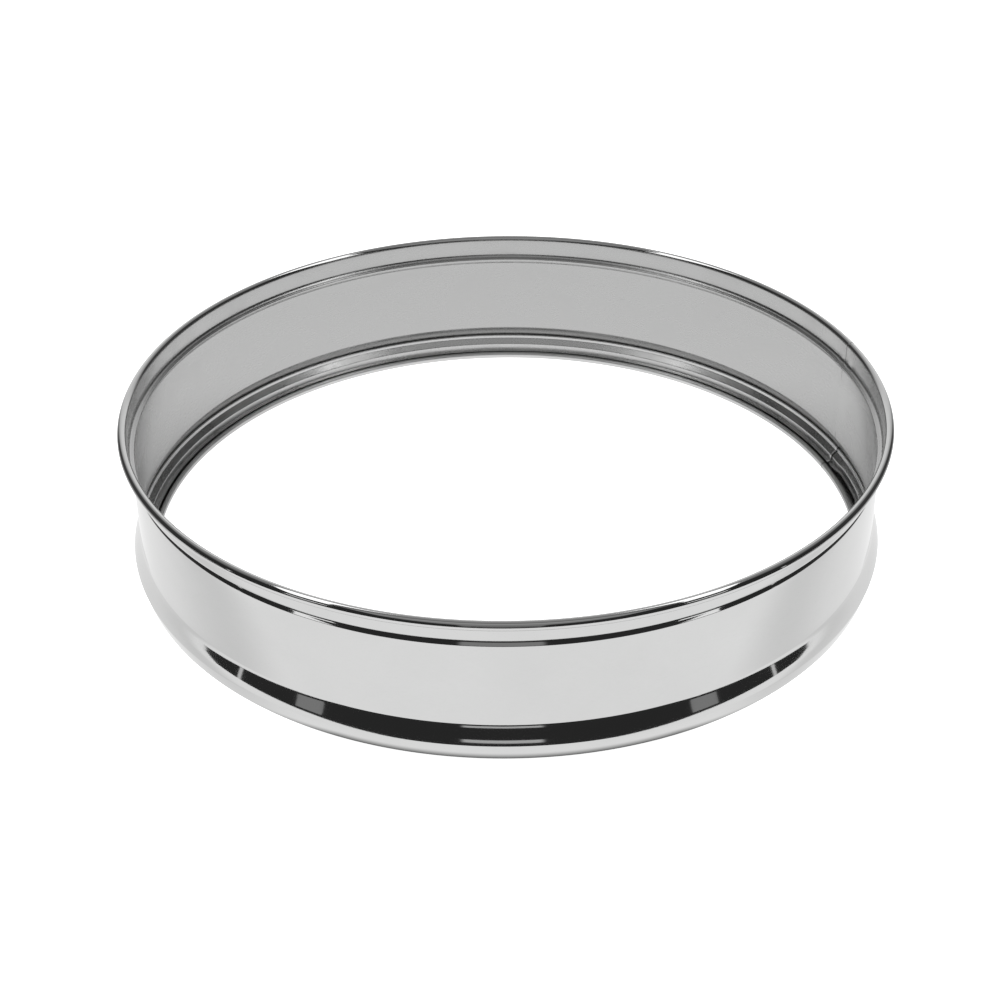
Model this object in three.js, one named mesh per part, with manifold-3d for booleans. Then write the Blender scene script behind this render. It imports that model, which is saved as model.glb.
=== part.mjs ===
// A round soil sieve frame of polished stainless sheet: one welded hoop with a rolled rim, a short
// collar, a pressed groove, a plain wall and a flared foot that turns under and ends in a small bead.
// A split clamp ring sits behind the bead and gives the screen its seat. Millimetres, +Z up, with the
// origin at the centre of the circle that the frame stands on.

import * as THREE from "three";
import { mergeVertices } from "three/addons/utils/BufferGeometryUtils.js";
import Module from "manifold-3d";

const wasm = await Module();
wasm.setup();

// Driving dimensions.
const OUTER_RADIUS = 150;
const HEIGHT = 59.3;
const SHEET = 0.5;
const CLEARANCE = 0.3;

// The rolled rim: the sheet turns outward and down around a thin wire.
const RIM_BEAD_RADIUS = 1.75;
const RIM_ROLL_END = -112.5;

// The hoop between its two beads: radii of the sheet's middle, and heights above the ground.
const COLLAR_RADIUS = OUTER_RADIUS - 2 * RIM_BEAD_RADIUS + SHEET / 2;
const COLLAR_END = HEIGHT - 9.3;
const GROOVE_RADIUS = COLLAR_RADIUS - 2.2;
const GROOVE_HEIGHT = HEIGHT - 9.9;
const WALL_RADIUS = COLLAR_RADIUS - 1.1;
const WALL_TOP = HEIGHT - 12.1;
const WALL_BOTTOM = 14.1;
const FLARE_RADIUS = WALL_RADIUS + 3.2;
const FLARE_BOTTOM = 6.8;

// The foot: it slants inward, turns under to a flat base, and curls up around a thin wire.
const FOOT_BEND_RADIUS = 1.5;
const FOOT_BEND_CENTRE = 146.1;
const FOOT_BEND_START = -17;
const BASE_BEAD_RADIUS = 1.35;
const BASE_BEAD_CENTRE = 141.6;
const BASE_CURL_END = -285;

// The clamp ring: a flat seat for the screen, a steep step, a cone and an upright edge.
const RING_SHEET = 0.7;
const SEAT_INNER_RADIUS = 143.1;
const SEAT_OUTER_RADIUS = 144.3;
const SEAT_HEIGHT = 2.8;
const STEP_RADIUS = 144.6;
const STEP_HEIGHT = 5.5;
const EDGE_RADIUS = 146.5;
const EDGE_HEIGHT = 7.6;
const RING_TOP_RADIUS = 146.6;
const RING_TOP = 9.0;

// The butt joint of the hoop, as an angle from +X towards +Y.
const SEAM_ANGLE = 16.5;
const WELD_WIDTH = 1.0;
const RING_SPLIT = 0.6;

// Fineness: sides of a full turn about +Z, degrees between points on a bend, and sides of a wire.
const AROUND = 64;
const BEND_STEP = 22.5;
const WIRE_SIDES = 8;

// Points on a circle in the section plane (x is the radius, y the height), angles in degrees.
function arc(centre, radius, from, to) {
  const steps = Math.round(Math.abs(to - from) / BEND_STEP);
  const points = [];
  for (let i = 0; i <= steps; i++) {
    const angle = THREE.MathUtils.degToRad(from + ((to - from) * i) / steps);
    points.push(new THREE.Vector2(Math.cos(angle), Math.sin(angle)).multiplyScalar(radius).add(centre));
  }
  return points;
}

// The unit normal to the left of the line from a to b.
function leftNormal(a, b) {
  const along = b.clone().sub(a).normalize();
  return new THREE.Vector2(-along.y, along.x);
}

// The line beside a path, at a signed distance to its left, with mitred corners.
function offset(path, distance) {
  return path.map((point, i) => {
    const before = leftNormal(path[Math.max(i - 1, 0)], path[Math.max(i, 1)]);
    const after = leftNormal(path[Math.min(i, path.length - 2)], path[Math.min(i + 1, path.length - 1)]);
    const mitre = before.clone().add(after).normalize();
    return point.clone().addScaledVector(mitre, distance / mitre.dot(before));
  });
}

// A sheet's closed section: both sides of its middle line.
function sheetSection(path, thickness) {
  const section = [...offset(path, -thickness / 2), ...offset(path, thickness / 2).reverse()];
  return [...section, section[0].clone()];
}

// A solid of revolution about +Z from a closed section.
function revolve(section) {
  return new THREE.LatheGeometry(section, AROUND).rotateX(Math.PI / 2);
}

// Geometry to and from the boolean library.
function toSolid(geometry) {
  const plain = geometry.clone();
  plain.deleteAttribute("normal");
  plain.deleteAttribute("uv");
  const merged = mergeVertices(plain);
  const mesh = new wasm.Mesh({
    numProp: 3,
    vertProperties: new Float32Array(merged.attributes.position.array),
    triVerts: new Uint32Array(merged.index.array),
  });
  return new wasm.Manifold(mesh);
}

function toGeometry(solid) {
  const mesh = solid.getMesh();
  const geometry = new THREE.BufferGeometry();
  geometry.setAttribute("position", new THREE.BufferAttribute(mesh.vertProperties, mesh.numProp));
  geometry.setIndex(new THREE.BufferAttribute(mesh.triVerts, 1));
  geometry.computeVertexNormals();
  return geometry;
}

// An upright slice through one side of the frame at the seam.
function seamSlice(width) {
  const depth = 30;
  const slice = new THREE.BoxGeometry(depth, width, 2 * HEIGHT);
  slice.translate(OUTER_RADIUS - depth / 3, 0, HEIGHT / 2);
  slice.rotateZ(THREE.MathUtils.degToRad(SEAM_ANGLE));
  return toSolid(slice);
}

const rimCentre = new THREE.Vector2(OUTER_RADIUS - RIM_BEAD_RADIUS, HEIGHT - RIM_BEAD_RADIUS);
const footCentre = new THREE.Vector2(FOOT_BEND_CENTRE, FOOT_BEND_RADIUS);
const curlCentre = new THREE.Vector2(BASE_BEAD_CENTRE, BASE_BEAD_RADIUS);

// The hoop's middle line, from the free edge inside the rim to the free edge inside the bead.
function frameMiddle() {
  return [
    ...arc(rimCentre, RIM_BEAD_RADIUS - SHEET / 2, RIM_ROLL_END, 180),
    new THREE.Vector2(COLLAR_RADIUS, COLLAR_END),
    new THREE.Vector2(GROOVE_RADIUS, GROOVE_HEIGHT),
    new THREE.Vector2(WALL_RADIUS, WALL_TOP),
    new THREE.Vector2(WALL_RADIUS, WALL_BOTTOM),
    new THREE.Vector2(FLARE_RADIUS, FLARE_BOTTOM),
    ...arc(footCentre, FOOT_BEND_RADIUS - SHEET / 2, FOOT_BEND_START, -90),
    ...arc(curlCentre, BASE_BEAD_RADIUS - SHEET / 2, -90, BASE_CURL_END),
  ];
}

const hoop = toSolid(revolve(sheetSection(frameMiddle(), SHEET)));

// The hoop is open at its butt joint, by the weld's width and a clearance on each side.
function frameShell() {
  return toGeometry(hoop.subtract(seamSlice(WELD_WIDTH + 2 * CLEARANCE)));
}

// The weld runs down the whole joint, as thick as the sheet.
function seamWeld() {
  return toGeometry(hoop.intersect(seamSlice(WELD_WIDTH)));
}

function rimWire() {
  const radius = RIM_BEAD_RADIUS - SHEET - CLEARANCE;
  return new THREE.TorusGeometry(rimCentre.x, radius, WIRE_SIDES, AROUND).translate(0, 0, rimCentre.y);
}

function baseWire() {
  const radius = BASE_BEAD_RADIUS - SHEET - CLEARANCE;
  return new THREE.TorusGeometry(curlCentre.x, radius, WIRE_SIDES, AROUND).translate(0, 0, curlCentre.y);
}

// The ring's visible side faces up and inward; its thickness lies behind that face.
function clampRing() {
  const face = [
    new THREE.Vector2(RING_TOP_RADIUS, RING_TOP),
    new THREE.Vector2(EDGE_RADIUS, EDGE_HEIGHT),
    new THREE.Vector2(STEP_RADIUS, STEP_HEIGHT),
    new THREE.Vector2(SEAT_OUTER_RADIUS, SEAT_HEIGHT),
    new THREE.Vector2(SEAT_INNER_RADIUS, SEAT_HEIGHT),
  ];
  const back = offset(face, RING_SHEET);
  const ring = toSolid(revolve([...face, ...back.reverse(), face[0].clone()]));
  return toGeometry(ring.subtract(seamSlice(RING_SPLIT)));
}

const polished = new THREE.MeshStandardMaterial({ color: 0xc9caca, roughness: 0.16, metalness: 1 });
const satin = new THREE.MeshStandardMaterial({ color: 0xbdbebe, roughness: 0.28, metalness: 1 });
const drawn = new THREE.MeshStandardMaterial({ color: 0xa8a9aa, roughness: 0.35, metalness: 1 });
const welded = new THREE.MeshStandardMaterial({ color: 0x9a9a98, roughness: 0.4, metalness: 1 });

function part(name, geometry, material) {
  const mesh = new THREE.Mesh(geometry, material);
  mesh.name = name;
  return mesh;
}

const group = new THREE.Group();
group.add(
  part("frame_shell", frameShell(), polished),
  part("seam_weld", seamWeld(), welded),
  part("rim_wire", rimWire(), drawn),
  part("base_wire", baseWire(), drawn.clone()),
  part("clamp_ring", clampRing(), satin),
);

export default group;
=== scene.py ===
"""Looks of a round soil sieve frame in polished stainless sheet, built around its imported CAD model.

Sections through the sheet are drawn in millimetres as (radius, height), and the meshes are in metres.
Azimuths of lights and cards count from the viewer's side (-Y) towards +X, in degrees.
"""

import math

import bmesh
import bpy
from mathutils import Matrix, Vector
from mathutils import noise as value_noise


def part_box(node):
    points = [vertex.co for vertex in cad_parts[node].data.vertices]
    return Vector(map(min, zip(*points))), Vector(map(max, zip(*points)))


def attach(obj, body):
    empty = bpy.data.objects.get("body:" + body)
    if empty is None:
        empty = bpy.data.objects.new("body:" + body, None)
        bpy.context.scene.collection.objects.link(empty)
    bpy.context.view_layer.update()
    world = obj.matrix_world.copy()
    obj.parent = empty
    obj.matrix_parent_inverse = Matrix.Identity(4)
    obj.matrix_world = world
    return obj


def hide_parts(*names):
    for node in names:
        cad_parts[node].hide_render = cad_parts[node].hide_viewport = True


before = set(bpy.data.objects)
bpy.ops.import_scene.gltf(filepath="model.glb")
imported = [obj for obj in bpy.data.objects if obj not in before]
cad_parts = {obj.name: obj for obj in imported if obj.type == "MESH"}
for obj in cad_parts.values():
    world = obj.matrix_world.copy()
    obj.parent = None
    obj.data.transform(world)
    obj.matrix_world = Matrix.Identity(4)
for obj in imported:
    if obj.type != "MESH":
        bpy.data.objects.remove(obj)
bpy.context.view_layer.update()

MM = 0.001
_, SHELL_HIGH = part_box("frame_shell")
OUTER_RADIUS = SHELL_HIGH.x / MM
HEIGHT = SHELL_HIGH.z / MM
SEAM_ANGLE = math.radians(16.5)

# How finely the pieces are made: columns round the axis, the turn between points of a bend, and columns
# across the weld.
AROUND = 720
BEND_STEP = math.radians(9)
WELD_STEPS = 8
# The radius in metres at which the sheet is unrolled for its surface map.
UV_RADIUS = 0.146

# Sheet edges, in parts of the sheet's thickness: how far a cut edge crowns, and half of its flat.
EDGE_CROWN = 0.12
EDGE_FLAT = 0.3


def added(name, data):
    """A new object of this data in the scene."""
    thing = bpy.data.objects.new(name, data)
    bpy.context.scene.collection.objects.link(thing)
    return thing


# ---------------------------------------------------------------- camera

CAMERA_BACK = 0.63070
CAMERA_ABOVE_RIM = 0.35713
CAMERA_PITCH = math.radians(-32.75)
CAMERA_YAW = math.radians(-0.2155)
CAMERA_ROLL = math.radians(-0.495)
CAMERA_LENS = 66.6
CAMERA_SENSOR = 36


def place_camera():
    """The camera of the product shot: a short telephoto lens looking down into the frame."""
    data = bpy.data.cameras.new("camera")
    data.lens = CAMERA_LENS
    data.sensor_width = CAMERA_SENSOR
    camera = added("camera", data)
    bpy.context.scene.camera = camera
    forward = Vector((
        math.sin(CAMERA_YAW) * math.cos(CAMERA_PITCH),
        math.cos(CAMERA_YAW) * math.cos(CAMERA_PITCH),
        math.sin(CAMERA_PITCH),
    ))
    level = forward.cross(Vector((0, 0, 1))).normalized()
    upright = level.cross(forward)
    right = math.cos(CAMERA_ROLL) * level + math.sin(CAMERA_ROLL) * upright
    up = math.cos(CAMERA_ROLL) * upright - math.sin(CAMERA_ROLL) * level
    turn = Matrix((right, up, -forward)).transposed()
    place = Vector((0, -CAMERA_BACK, SHELL_HIGH.z + CAMERA_ABOVE_RIM))
    camera.matrix_world = Matrix.Translation(place) @ turn.to_4x4()


# ---------------------------------------------------------------- sections

# The hoop's rim and foot, along the middle of its sheet. Rolls and turns run from degree to degree.
SHEET = 0.5
RIM_BEAD = 1.75
RIM_ROLL = (-112.5, 180)
FOOT_BEND = 1.5
FOOT_BEND_RADIUS = 146.1
FOOT_TURN = (-17, -90)
BASE_BEAD = 1.35
BASE_BEAD_RADIUS = 141.6
BASE_CURL = (-90, -285)
BASE_SQUARENESS = 3
LONGEST_STEP = 3.0

# The hoop between rim and foot, from the top: (radius, height, bend radius) of each corner.
COLLAR_RADIUS = OUTER_RADIUS - 2 * RIM_BEAD + SHEET / 2
GROOVE_RADIUS = COLLAR_RADIUS - 2.3
GROOVE_HEIGHT = HEIGHT - 9.9
WALL_RADIUS = COLLAR_RADIUS - 1.1
WALL_BOTTOM = 14.2
FLARE_RADIUS = WALL_RADIUS + 3.2
FLARE_BOTTOM = 6.8
HOOP_CORNERS = [
    (COLLAR_RADIUS, HEIGHT - 9.5, 1.7),
    (GROOVE_RADIUS, GROOVE_HEIGHT, 0.27),
    (GROOVE_RADIUS + 0.55, GROOVE_HEIGHT - 1.25, 3.0),
    (WALL_RADIUS, HEIGHT - 12.1, 0.3),
    (WALL_RADIUS, WALL_BOTTOM, 1.2),
    (WALL_RADIUS + 0.57, WALL_BOTTOM - 1.4, 15.0),
    (FLARE_RADIUS - 0.96, FLARE_BOTTOM + 2.4, 18.0),
    (FLARE_RADIUS, FLARE_BOTTOM, 1.1),
]

# The ring that clamps the screen, along its visible face: top edge, edge, step, and both ends of the seat.
RING_SHEET = 0.7
RING_TOP_RADIUS = 146.8
SEAT_INNER = 143.1
RING_CORNERS = [
    (RING_TOP_RADIUS, 9.0, 0),
    (146.7, 7.6, 0.4),
    (144.6, 5.5, 0.5),
    (144.3, 2.8, 0.3),
    (SEAT_INNER, 2.8, 0),
]
RING_LONGEST_STEP = 0.5


def arc(centre, radius, start, end):
    """Points on a circle in the section plane, angles in degrees."""
    start, end = math.radians(start), math.radians(end)
    steps = max(2, round(abs(end - start) / BEND_STEP))
    return [
        (centre[0] + radius * math.cos(start + (end - start) * i / steps),
         centre[1] + radius * math.sin(start + (end - start) * i / steps))
        for i in range(steps + 1)
    ]


def squared(points, centre, power):
    """Points on a circle pushed out towards the corners of its square, so that its sides are flatter."""
    out = []
    for point in points:
        spoke = Vector(point) - Vector(centre)
        along = spoke.normalized()
        stretch = (abs(along.x) ** power + abs(along.y) ** power) ** (-1 / power)
        out.append(tuple(Vector(centre) + spoke * stretch))
    return out


def bent(points):
    """A path through (radius, height, bend) corners, each rounded with its bend radius."""
    path = [points[0][:2]]
    for before, corner, after in zip(points, points[1:], points[2:]):
        here = Vector(corner[:2])
        back, on = (Vector(p[:2]) - here for p in (before, after))
        half = back.angle(on) / 2
        reach = corner[2] / math.tan(half)
        centre = here + (back.normalized() + on.normalized()).normalized() * corner[2] / math.sin(half)
        first, last = here + back.normalized() * reach, here + on.normalized() * reach
        start = math.atan2(first.y - centre.y, first.x - centre.x)
        turn = math.atan2(last.y - centre.y, last.x - centre.x) - start
        turn = (turn + math.pi) % math.tau - math.pi
        path += arc(centre, corner[2], math.degrees(start), math.degrees(start + turn))
    return path + [points[-1][:2]]


def refined(path, longest):
    """The path with its straight stretches cut into lengths of at most longest."""
    out = [path[0]]
    for a, b in zip(path, path[1:]):
        steps = max(1, math.ceil(math.dist(a, b) / longest))
        out += [
            (a[0] + (b[0] - a[0]) * i / steps, a[1] + (b[1] - a[1]) * i / steps)
            for i in range(1, steps + 1)
        ]
    return out


def offset(path, distance):
    """The line beside a path, at a signed distance to its left."""
    out = []
    for i, point in enumerate(path):
        a, b = path[max(i - 1, 0)], path[min(i + 1, len(path) - 1)]
        along = Vector((b[0] - a[0], b[1] - a[1])).normalized()
        out.append((point[0] - along.y * distance, point[1] + along.x * distance))
    return out


def sheet_section(path, thickness):
    """The closed outline of a sheet that follows a path, with softened cut edges."""
    left = offset(path, thickness / 2)
    right = offset(path, -thickness / 2)

    def edge(end, inner):
        along = Vector((end[0] - inner[0], end[1] - inner[1])).normalized() * thickness * EDGE_CROWN
        side = Vector((-along.y, along.x)).normalized() * thickness * EDGE_FLAT
        tip = (end[0] + along.x, end[1] + along.y)
        return [(tip[0] - side.x, tip[1] - side.y), (tip[0] + side.x, tip[1] + side.y)]

    return right + edge(path[-1], path[-2]) + left[::-1] + edge(path[0], path[1])


def hoop_path():
    """The middle of the hoop's sheet, from the rolled end of the rim to the curled end of the foot."""
    rim_centre = (OUTER_RADIUS - RIM_BEAD, HEIGHT - RIM_BEAD)
    base_centre = (BASE_BEAD_RADIUS, BASE_BEAD)
    rim = arc(rim_centre, RIM_BEAD - SHEET / 2, *RIM_ROLL)
    foot = arc((FOOT_BEND_RADIUS, FOOT_BEND), FOOT_BEND - SHEET / 2, *FOOT_TURN)
    curl = squared(arc(base_centre, BASE_BEAD - SHEET / 2, *BASE_CURL), base_centre, BASE_SQUARENESS)
    wall = bent([rim[-1] + (0,), *HOOP_CORNERS, foot[0] + (0,)])
    return refined(rim + wall[1:-1] + foot + curl, LONGEST_STEP)


def ring_path():
    """The middle of the clamp ring's sheet, from its top edge to the inner edge of its seat."""
    return refined(offset(bent(RING_CORNERS), RING_SHEET / 2), RING_LONGEST_STEP)


# ---------------------------------------------------------------- meshes

# The unevenness of the rolled hoop, in millimetres: waves round it, the pull of the weld, and the puckers
# on both sides of the weld at the groove.
HOOP_WANDER = 0.10
HOOP_TREMOR = 0.02
SEAM_PULL = 0.12
SEAM_PULL_WIDTH = 4.0
PUCKER = 0.3
PUCKER_ASIDE = 3.5
PUCKER_WIDTH = 1.8
PUCKER_TALLNESS = 1.5
PUCKER_HEIGHT = GROOVE_HEIGHT + 0.5

# The unevenness of the ring, in millimetres: how it lifts, how its inner edge is cut, and the notch beside
# its split, with the degrees from the seam between which the notch opens and closes.
RING_LIFT = 0.06
RING_CUT = 0.1
RING_CUT_WANDER = 0.2
RING_NOTCH = 1.3
NOTCH_OPENS = (-15, -11.5)
NOTCH_CLOSES = (-4.5, -1.5)
RING_SPLIT = math.radians(0.24)

# The weld along the hoop's butt joint, in millimetres.
WELD_WIDTH = 0.9
WELD_CROWN = 0.05
WELD_BURIED = 0.06
WELD_SINK = 0.03
WELD_BUMPS = 0.015

# The hoop's finishes: the polish ends this far below the rim's crest on the inside, where the sheet is
# rougher and its darker grey is painted shade, and the bead under the ring is satin up to this height, with
# a lighter grey that is painted light.
CREST_DEPTH = 1.0
SATIN_HEIGHT = 4


def smooth(low, high, value):
    """An ease from 0 at low to 1 at high."""
    t = min(max((value - low) / (high - low), 0), 1)
    return t * t * (3 - 2 * t)


def bell(distance, width):
    """A bump of height 1 that fades out over about the given width."""
    return math.exp(-(distance / width) ** 2)


def ripple(seed, angle, turns, octaves=3):
    """Smooth noise round the axis, with no step where the turn closes."""
    total, weight = 0.0, 1.0
    for k in range(octaves):
        scale = turns * 2 ** k / math.tau
        spot = (math.cos(angle) * scale, math.sin(angle) * scale, seed + 7.3 * k)
        total += weight * value_noise.noise(spot)
        weight *= 0.5
    return total


def from_seam(angle):
    """The signed angle from the seam, within half a turn."""
    return (angle - SEAM_ANGLE + math.pi) % math.tau - math.pi


def revolve(name, section, start=SEAM_ANGLE, sweep=math.tau, steps=AROUND, shape=None, faces=()):
    """A closed section swept round the vertical axis. shape(angle, radius, height, index) moves each point,
    and faces lists which sides of the section take the piece's first, second and later materials."""
    whole = sweep == math.tau
    mesh = bmesh.new()
    columns = []
    for j in range(steps if whole else steps + 1):
        angle = start + sweep * j / steps
        column = []
        for i, (radius, height) in enumerate(section):
            r, z = shape(angle, radius, height, i) if shape else (radius, height)
            column.append(mesh.verts.new((r * MM * math.cos(angle), r * MM * math.sin(angle), z * MM)))
        columns.append(column)
    lengths = [0.0]
    for a, b in zip(section, section[1:] + section[:1]):
        lengths.append(lengths[-1] + math.dist(a, b) * MM)
    uv = mesh.loops.layers.uv.new("sheet_map")
    count = len(section)
    for j in range(steps):
        left, right = columns[j], columns[(j + 1) % len(columns)]
        for i in range(count):
            k = (i + 1) % count
            face = mesh.faces.new((left[i], right[i], right[k], left[k]))
            face.smooth = True
            face.material_index = max((m for m, sides in enumerate(faces) if i in sides), default=0)
            for loop, (u, v) in zip(face.loops, ((j, i), (j + 1, i), (j + 1, i + 1), (j, i + 1))):
                loop[uv].uv = (u * sweep / steps * UV_RADIUS, lengths[v])
    if not whole:
        mesh.faces.new(columns[0])
        mesh.faces.new(columns[-1][::-1])
    bmesh.ops.recalc_face_normals(mesh, faces=mesh.faces)
    data = bpy.data.meshes.new(name)
    mesh.to_mesh(data)
    mesh.free()
    return added(name, data)


def make_hoop():
    """The hoop: one sheet rolled by hand, so its wall wanders a little and it is drawn in by the seam."""
    def shape(angle, radius, height, _):
        middle = math.sin(math.pi * min(max(height / HEIGHT, 0), 1)) ** 2
        wander = HOOP_WANDER * ripple(1.0, angle, 9)
        tremor = HOOP_TREMOR * ripple(4.0, angle + height * 0.01, 60, 2)
        aside = from_seam(angle) * radius
        pull = -SEAM_PULL * bell(aside, SEAM_PULL_WIDTH)
        pucker = -PUCKER * bell(abs(aside) - PUCKER_ASIDE, PUCKER_WIDTH)
        pucker *= bell(height - PUCKER_HEIGHT, PUCKER_TALLNESS)
        return radius + middle * (wander + tremor + pull) + pucker, height

    path = hoop_path()
    section = sheet_section(path, SHEET)
    crest = max(range(len(path)), key=lambda i: path[i][1])
    inner = [i for i, (_, height) in enumerate(path) if i > crest and height < HEIGHT - CREST_DEPTH]
    bead = [
        i for i, (radius, height) in enumerate(section)
        if radius < BASE_BEAD_RADIUS + BASE_BEAD and height < SATIN_HEIGHT
    ]
    return revolve("sieve_hoop", section, shape=shape, faces=((), inner, bead))


def make_weld():
    """The dressed weld along the hoop's butt joint: a low crown that follows the sheet on both faces."""
    path = hoop_path()
    sections = []
    for j in range(WELD_STEPS + 1):
        s = 2 * j / WELD_STEPS - 1
        rise = WELD_CROWN * (1 - s * s) - WELD_BURIED * s ** 4
        sections.append(sheet_section(path, SHEET + 2 * rise))
    sweep = WELD_WIDTH / WALL_RADIUS
    start = SEAM_ANGLE - sweep / 2

    def shape(angle, radius, height, i):
        j = round((angle - start) / sweep * WELD_STEPS)
        r, z = sections[j][i]
        bumps = WELD_BUMPS * value_noise.noise((r * 1.3, z * 1.3, j * 0.8))
        return min(r - WELD_SINK + bumps, OUTER_RADIUS), min(max(z, 0.0), HEIGHT)

    return revolve("weld_line", sections[0], start=start, sweep=sweep, steps=WELD_STEPS, shape=shape)


def make_ring():
    """The clamp ring, its seat cut a little unevenly and pulled back beside its split."""
    def shape(angle, radius, height, _):
        degrees = math.degrees(from_seam(angle))
        inward = min(max((RING_TOP_RADIUS - radius) / (RING_TOP_RADIUS - SEAT_INNER), 0), 1)
        cut = RING_CUT_WANDER * ripple(9.0, angle, 14, 4) + RING_CUT
        notch = RING_NOTCH * smooth(*NOTCH_OPENS, degrees) * (1 - smooth(*NOTCH_CLOSES, degrees))
        lift = RING_LIFT * ripple(2.0, angle, 30) * inward
        return radius + inward ** 2 * (cut + notch), height + lift

    section = sheet_section(ring_path(), RING_SHEET)
    start, sweep = SEAM_ANGLE + RING_SPLIT / 2, math.tau - RING_SPLIT
    return revolve("screen_ring", section, start=start, sweep=sweep, shape=shape)


def make_wire(name, node):
    """A drawn wire bent into a ring, as thick as its CAD node and in its place."""
    low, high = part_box(node)
    radius = (high.z - low.z) / 2 / MM
    centre = (high.x / MM - radius, (high.z + low.z) / 2 / MM)
    return revolve(name, arc(centre, radius, 0, 360)[:-1])


# ---------------------------------------------------------------- materials

class Nodes:
    """A small hand for wiring a node tree."""

    def __init__(self, owner):
        owner.use_nodes = True
        self.tree = owner.node_tree
        self.tree.nodes.clear()

    def add(self, kind, inputs=None, **settings):
        """A new node with its settings, each input a value or another node's output."""
        node = self.tree.nodes.new(kind)
        for key, value in settings.items():
            setattr(node, key, value)
        for key, value in (inputs or {}).items():
            self.put(node.inputs[key], value)
        return node

    def put(self, socket, value):
        """Links an output to a socket, or sets the socket's value."""
        if isinstance(value, bpy.types.NodeSocket):
            self.tree.links.new(value, socket)
        else:
            socket.default_value = value

    def maths(self, operation, *values, clamp=False):
        """One Math node's result."""
        node = self.add("ShaderNodeMath", operation=operation, use_clamp=clamp)
        for socket, value in zip(node.inputs, values):
            self.put(socket, value)
        return node.outputs[0]

    def chained(self, operation, first, *others):
        """Several values joined by one operation, from the left."""
        for other in others:
            first = self.maths(operation, first, other)
        return first

    def total(self, *values):
        """The values added up."""
        return self.chained("ADD", *values)

    def product(self, *values):
        """The values multiplied."""
        return self.chained("MULTIPLY", *values)

    def rest(self, value):
        """What is left of 1."""
        return self.maths("SUBTRACT", 1.0, value)

    def span(self, value, low, high, out_low, out_high, kind="LINEAR"):
        """A value carried over from one range to another."""
        node = self.add("ShaderNodeMapRange", interpolation_type=kind)
        sockets = ("Value", "From Min", "From Max", "To Min", "To Max")
        for socket, number in zip(sockets, (value, low, high, out_low, out_high)):
            self.put(node.inputs[socket], number)
        return node.outputs["Result"]

    def ease(self, value, low, high, out_low, out_high):
        """A span with soft ends."""
        return self.span(value, low, high, out_low, out_high, "SMOOTHSTEP")


def steel(name, grey, rough, grain, streak, scratch, relief):
    """Stainless sheet: grain runs along the rolling direction, with fine scratches and faint smears.

    grain is the grain's scale along the sheet, streak how much it changes the tone, scratch how strong the
    scratches are, and relief how deep the grain is, in millimetres."""
    material = bpy.data.materials.new(name)
    n = Nodes(material)
    place = n.add("ShaderNodeUVMap", uv_map="sheet_map").outputs["UV"]

    def noise(along, across, seed, **inputs):
        stretched = n.add("ShaderNodeMapping", {
            "Vector": place, "Scale": (along, across, 1), "Location": (seed, seed * 1.7, 0),
        }).outputs[0]
        return n.add("ShaderNodeTexNoise", {"Vector": stretched, "Scale": 1.0, **inputs}).outputs["Fac"]

    lines = noise(grain, grain * 22, 3.1, Detail=4.0, Roughness=0.6)
    smears = noise(38, 60, 8.4, Detail=3.0, Roughness=0.55, Distortion=0.8)
    strokes = noise(260, 2600, 5.7, Detail=2.0, Distortion=1.4)
    scratches = n.ease(strokes, 0.70, 0.78, 0.0, 1.0)

    tone = n.total(
        n.span(lines, 0.25, 0.75, -streak, streak),
        n.span(smears, 0.3, 0.7, -streak * 0.6, streak * 0.6),
    )
    tone = n.maths("SUBTRACT", tone, n.product(scratches, scratch * 0.12))
    shade = n.product(n.total(tone, 1.0), grey)
    colour = n.add("ShaderNodeCombineColor", {
        0: n.product(shade, 0.998), 1: shade, 2: n.product(shade, 0.996),
    }).outputs[0]
    polish = n.total(
        n.span(smears, 0.3, 0.7, -0.15 * rough, 0.25 * rough),
        n.span(lines, 0.25, 0.75, -0.15 * rough, 0.15 * rough),
        n.product(scratches, scratch * 0.15),
    )
    polish = n.maths("ADD", polish, rough, clamp=True)
    bump = n.add("ShaderNodeBump", {"Strength": 1.0, "Distance": relief * MM, "Height": lines}).outputs[0]
    shader = n.add("ShaderNodeBsdfPrincipled", {
        "Base Color": colour, "Metallic": 1.0, "Roughness": polish, "Normal": bump,
    })
    n.add("ShaderNodeOutputMaterial", {"Surface": shader.outputs[0]})
    return material


# ---------------------------------------------------------------- studio

TABLE_SIDE = 0.27
TABLE_FRONT = 0.285
TABLE_BACK = 1.0

# How brightly the table glows to the steel: beyond the foot, inside the hoop, and inside by its sides. The
# dimmer glows inside the hoop and by its sides are painted shade.
TABLE_OUTSIDE = 1.10
TABLE_SHADED_INSIDE = 0.95
TABLE_SHADOW_BY_SIDES = 0.7
# Painted shade on the table beside the hoop, dimmer than before and behind it: how strongly that turns with
# direction.
TABLE_SHADE_SLANT = 1.6

# The room as the steel sees it: its darkness on the viewer's side, and its white to the camera.
ROOM_DARK = 0.03
ROOM_WHITE = 1.3

LIGHT_DISTANCE = 1.5
# Lights and cards on each side: name, its ends as (azimuth, elevation), width in metres, brightness.
LIGHTS = (
    ("softbox", (60, 44), (152, 62), 0.24, 1.7),
    ("low_softbox", (46, 18), (58, 18), 0.18, 1.2),
    ("dim_card", (52, 1), (52, 9), 0.20, 0.25),
    ("light_stand", (74, -3), (74, 11), 0.03, 0.7),
)


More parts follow.
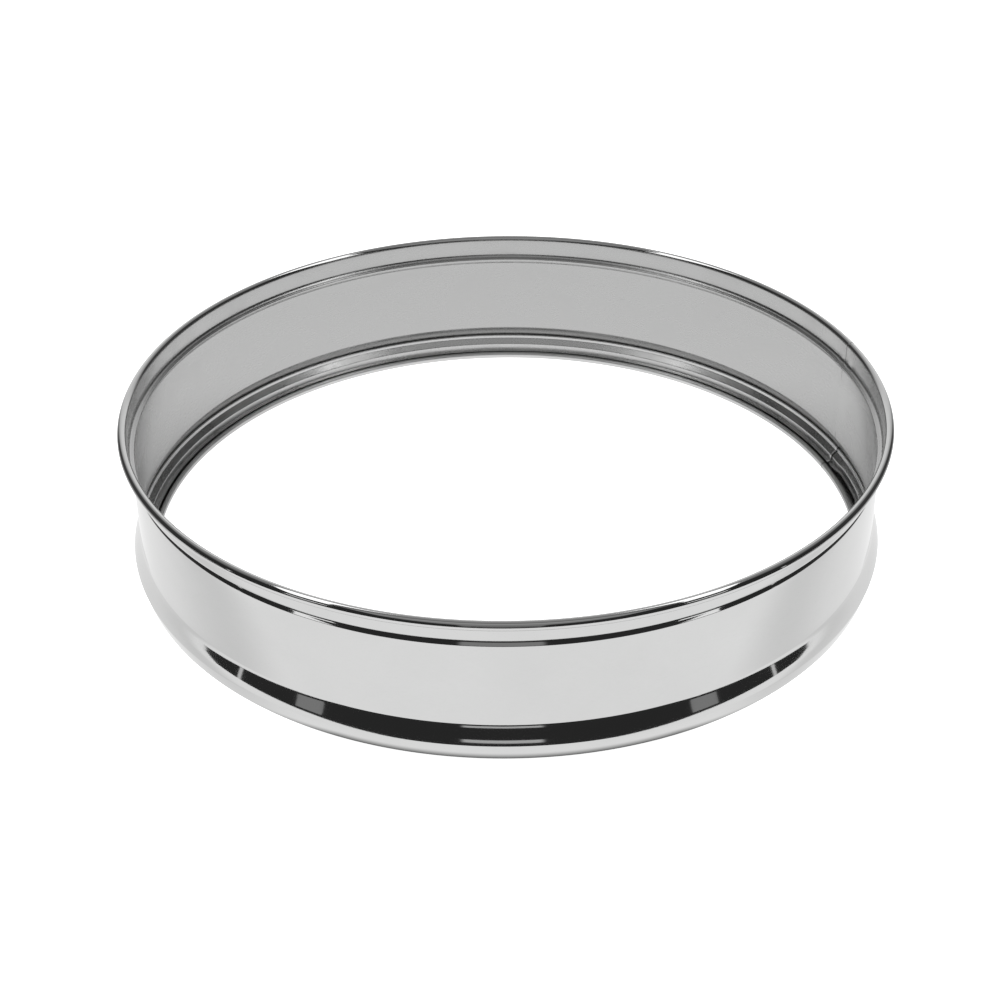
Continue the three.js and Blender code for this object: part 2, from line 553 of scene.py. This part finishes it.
def table_glow_with_painted_shade():
    """A white table that glows evenly to the camera. To the steel its glow carries painted shade: a little
    dimmer inside the hoop, fading beside the hoop's left and right, and dark under the foot in a painted
    contact shadow."""
    material = bpy.data.materials.new("floor_glow_with_painted_shade")
    n = Nodes(material)
    place = n.add("ShaderNodeNewGeometry").outputs["Position"]
    flat = n.add("ShaderNodeVectorMath", {0: place, 1: (1, 1, 0)}, operation="MULTIPLY").outputs[0]
    reach = n.add("ShaderNodeVectorMath", {0: flat}, operation="LENGTH").outputs["Value"]
    across = n.maths("ABSOLUTE", n.add("ShaderNodeSeparateXYZ", {0: place}).outputs["X"])

    bead, foot, flare = (radius * MM for radius in (BASE_BEAD_RADIUS, FOOT_BEND_RADIUS, FLARE_RADIUS))
    # Painted shade: the glow inside the hoop is dimmer, and dimmer still by its left and right sides.
    inside = n.product(
        n.ease(reach, bead - 1.5 * MM, bead, TABLE_SHADED_INSIDE, 0.0),
        n.ease(across, 0.08, 0.14, 1.0, TABLE_SHADOW_BY_SIDES),
    )
    # Painted contact shadow: the glow beyond the foot rises from dark under the foot, a little wider at the
    # hoop's left and right.
    from_foot = n.total(reach, n.span(across, 0.06, 0.12, 0.0, 0.003))
    # Painted shade: a soft band dims the glow beside the hoop's left and right.
    sideways = n.total(across, n.product(reach, -TABLE_SHADE_SLANT))
    outside = n.product(
        n.ease(from_foot, foot + 0.7 * MM, flare + 0.8 * MM, 0.0, TABLE_OUTSIDE),
        n.total(
            n.ease(sideways, -0.168, -0.138, 1.0, 0.82),
            n.ease(sideways, -0.136, -0.108, 0.0, 0.10),
        ),
    )
    mottle = n.add("ShaderNodeTexNoise", {"Scale": 5.0, "Detail": 2.0}).outputs["Fac"]
    glow = n.product(n.total(inside, outside), n.span(mottle, 0.3, 0.7, 0.98, 1.02))
    seen = n.add("ShaderNodeLightPath").outputs["Is Camera Ray"]
    lit = n.add("ShaderNodeEmission", {"Strength": n.total(glow, seen)})
    n.add("ShaderNodeOutputMaterial", {"Surface": lit.outputs[0]})
    return material


def make_table():
    """A white table under the object. Its near edge is close, so low reflections on that side are dark."""
    mesh = bmesh.new()
    corners = ((-TABLE_SIDE, -TABLE_FRONT), (TABLE_SIDE, -TABLE_FRONT),
               (TABLE_SIDE, TABLE_BACK), (-TABLE_SIDE, TABLE_BACK))
    mesh.faces.new([mesh.verts.new((x, y, 0)) for x, y in corners])
    data = bpy.data.meshes.new("floor")
    mesh.to_mesh(data)
    mesh.free()
    floor = added("floor", data)
    data.materials.append(table_glow_with_painted_shade())


def studio_air():
    """The room round the object: white to the camera. To the steel it is dark on the viewer's side, but for
    a window and the shelf below it. It brightens overhead and towards the back, and a pale sill runs round
    just below the horizon, except on the viewer's side."""
    world = bpy.data.worlds.new("studio")
    bpy.context.scene.world = world
    n = Nodes(world)
    axes = n.add("ShaderNodeSeparateXYZ", {0: n.add("ShaderNodeTexCoord").outputs["Generated"]})
    x, y, z = (axes.outputs[k] for k in "XYZ")

    back = n.total(n.ease(y, -0.05, 0.3, 0.0, 0.17), n.ease(y, 0.3, 0.6, 0.0, 0.16))
    low_sides = n.product(
        n.ease(n.maths("ABSOLUTE", x), 0.42, 0.60, 0.0, 0.9),
        n.ease(z, 0.62, 0.76, 1.0, 0.0),
    )
    back = n.product(back, n.rest(low_sides))
    overhead = n.ease(z, 0.72, 0.97, 0.0, 0.14)
    back_wall = n.ease(y, 0.72, 0.90, 0.0, 0.55)

    widening = n.ease(z, 0.50, 0.66, 0.0, 0.28)
    aside = n.maths("SUBTRACT", n.maths("ABSOLUTE", n.total(x, 0.02)), widening)
    ahead = n.product(n.ease(aside, 0.17, 0.20, 1.0, 0.0), n.ease(y, -0.1, -0.2, 0.0, 1.0))
    window = n.ease(z, 0.27, 0.33, 0.0, 0.25)
    shelf = n.product(n.span(z, 0.03, 0.04, 0.0, 0.55), n.span(z, 0.10, 0.11, 1.0, 0.0))

    depth = n.maths("SUBTRACT", z, n.ease(y, 0.10, 0.30, -0.095, -0.035))
    under = n.product(n.ease(z, -0.15, -0.18, 0.0, 1.0), n.ease(y, 0.12, 0.0, 0.0, 1.0))
    sill = n.product(
        n.ease(depth, 0.0, -0.015, 0.0, 1.0),
        n.ease(y, -0.22, -0.10, 0.0, 1.0),
        n.ease(y, 0.0, 0.4, 0.85, 0.35),
        n.rest(under),
    )

    lit = n.total(ROOM_DARK, back, overhead, back_wall, n.product(ahead, n.total(window, shelf)), sill)
    grey = n.add("ShaderNodeCombineColor", {0: lit, 1: lit, 2: lit}).outputs[0]
    room = n.add("ShaderNodeBackground", {"Color": grey, "Strength": 1.0})
    white = n.add("ShaderNodeBackground", {"Color": (1, 1, 1, 1), "Strength": ROOM_WHITE})
    seen = n.add("ShaderNodeLightPath").outputs["Is Camera Ray"]
    mix = n.add("ShaderNodeMixShader", {0: seen, 1: room.outputs[0], 2: white.outputs[0]})
    n.add("ShaderNodeOutputWorld", {"Surface": mix.outputs[0]})


def heading(azimuth, elevation):
    """The unit vector towards an azimuth and elevation."""
    a, e = math.radians(azimuth), math.radians(elevation)
    return Vector((math.sin(a) * math.cos(e), -math.cos(a) * math.cos(e), math.sin(e)))


def strip_light(name, first, last, width, brightness):
    """A long softbox that runs between two (azimuth, elevation) directions and faces the object."""
    start, end = heading(*first) * LIGHT_DISTANCE, heading(*last) * LIGHT_DISTANCE
    centre, along = (start + end) / 2, (end - start).normalized()
    away = (centre - centre.dot(along) * along).normalized()
    light = bpy.data.lights.new(name, "AREA")
    light.shape = "RECTANGLE"
    light.size, light.size_y = width, (end - start).length
    light.energy = brightness * math.pi * light.size * light.size_y
    lamp = added(name, light)
    turn = Matrix((along.cross(away), along, away)).transposed()
    lamp.matrix_world = Matrix.Translation(centre) @ turn.to_4x4()
    lamp.visible_camera = False


# ---------------------------------------------------------------- scene

def finish_piece(piece, node, slot, *materials):
    """Gives a piece its materials, ties it to the root body, and hides the CAD node that it stands for.
    slot is not used.
    """
    for material in materials:
        piece.data.materials.append(material)
    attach(piece, "root")
    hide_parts(node)


place_camera()
bpy.context.scene.view_settings.view_transform = "Standard"

polished = steel("polished_stainless", 0.60, 0.05, 300, 0.02, 0.5, 0.0003)
# The inside of the hoop is rougher, and its darker grey is painted shade inside the hoop.
inside = steel("inside_stainless_painted_shade", 0.53, 0.26, 300, 0.04, 0.8, 0.0008)
# The bead under the ring is satin, and its lighter grey is painted light.
satin_painted_light = steel("bead_satin_painted_light", 0.72, 0.36, 500, 0.05, 1.0, 0.002)
weld_steel = steel("dressed_weld", 0.36, 0.34, 700, 0.08, 1.0, 0.006)
ring_steel = steel("ring_polish", 0.64, 0.28, 500, 0.05, 1.0, 0.001)
wire_steel = steel("drawn_wire_steel", 0.5, 0.2, 400, 0.05, 1.0, 0.003)

finish_piece(make_hoop(), "frame_shell", "polished_sheet", polished, inside, satin_painted_light)
finish_piece(make_weld(), "seam_weld", "weld_metal", weld_steel)
finish_piece(make_ring(), "clamp_ring", "ring_sheet", ring_steel)
finish_piece(make_wire("rim_core", "rim_wire"), "rim_wire", "drawn_wire", wire_steel)
finish_piece(make_wire("base_core", "base_wire"), "base_wire", "drawn_wire", wire_steel)

make_table()
studio_air()
for side in (-1, 1):
    for name, first, last, width, brightness in LIGHTS:
        strip_light(name, (side * first[0], first[1]), (side * last[0], last[1]), width, brightness)

bpy.context.view_layer.update()
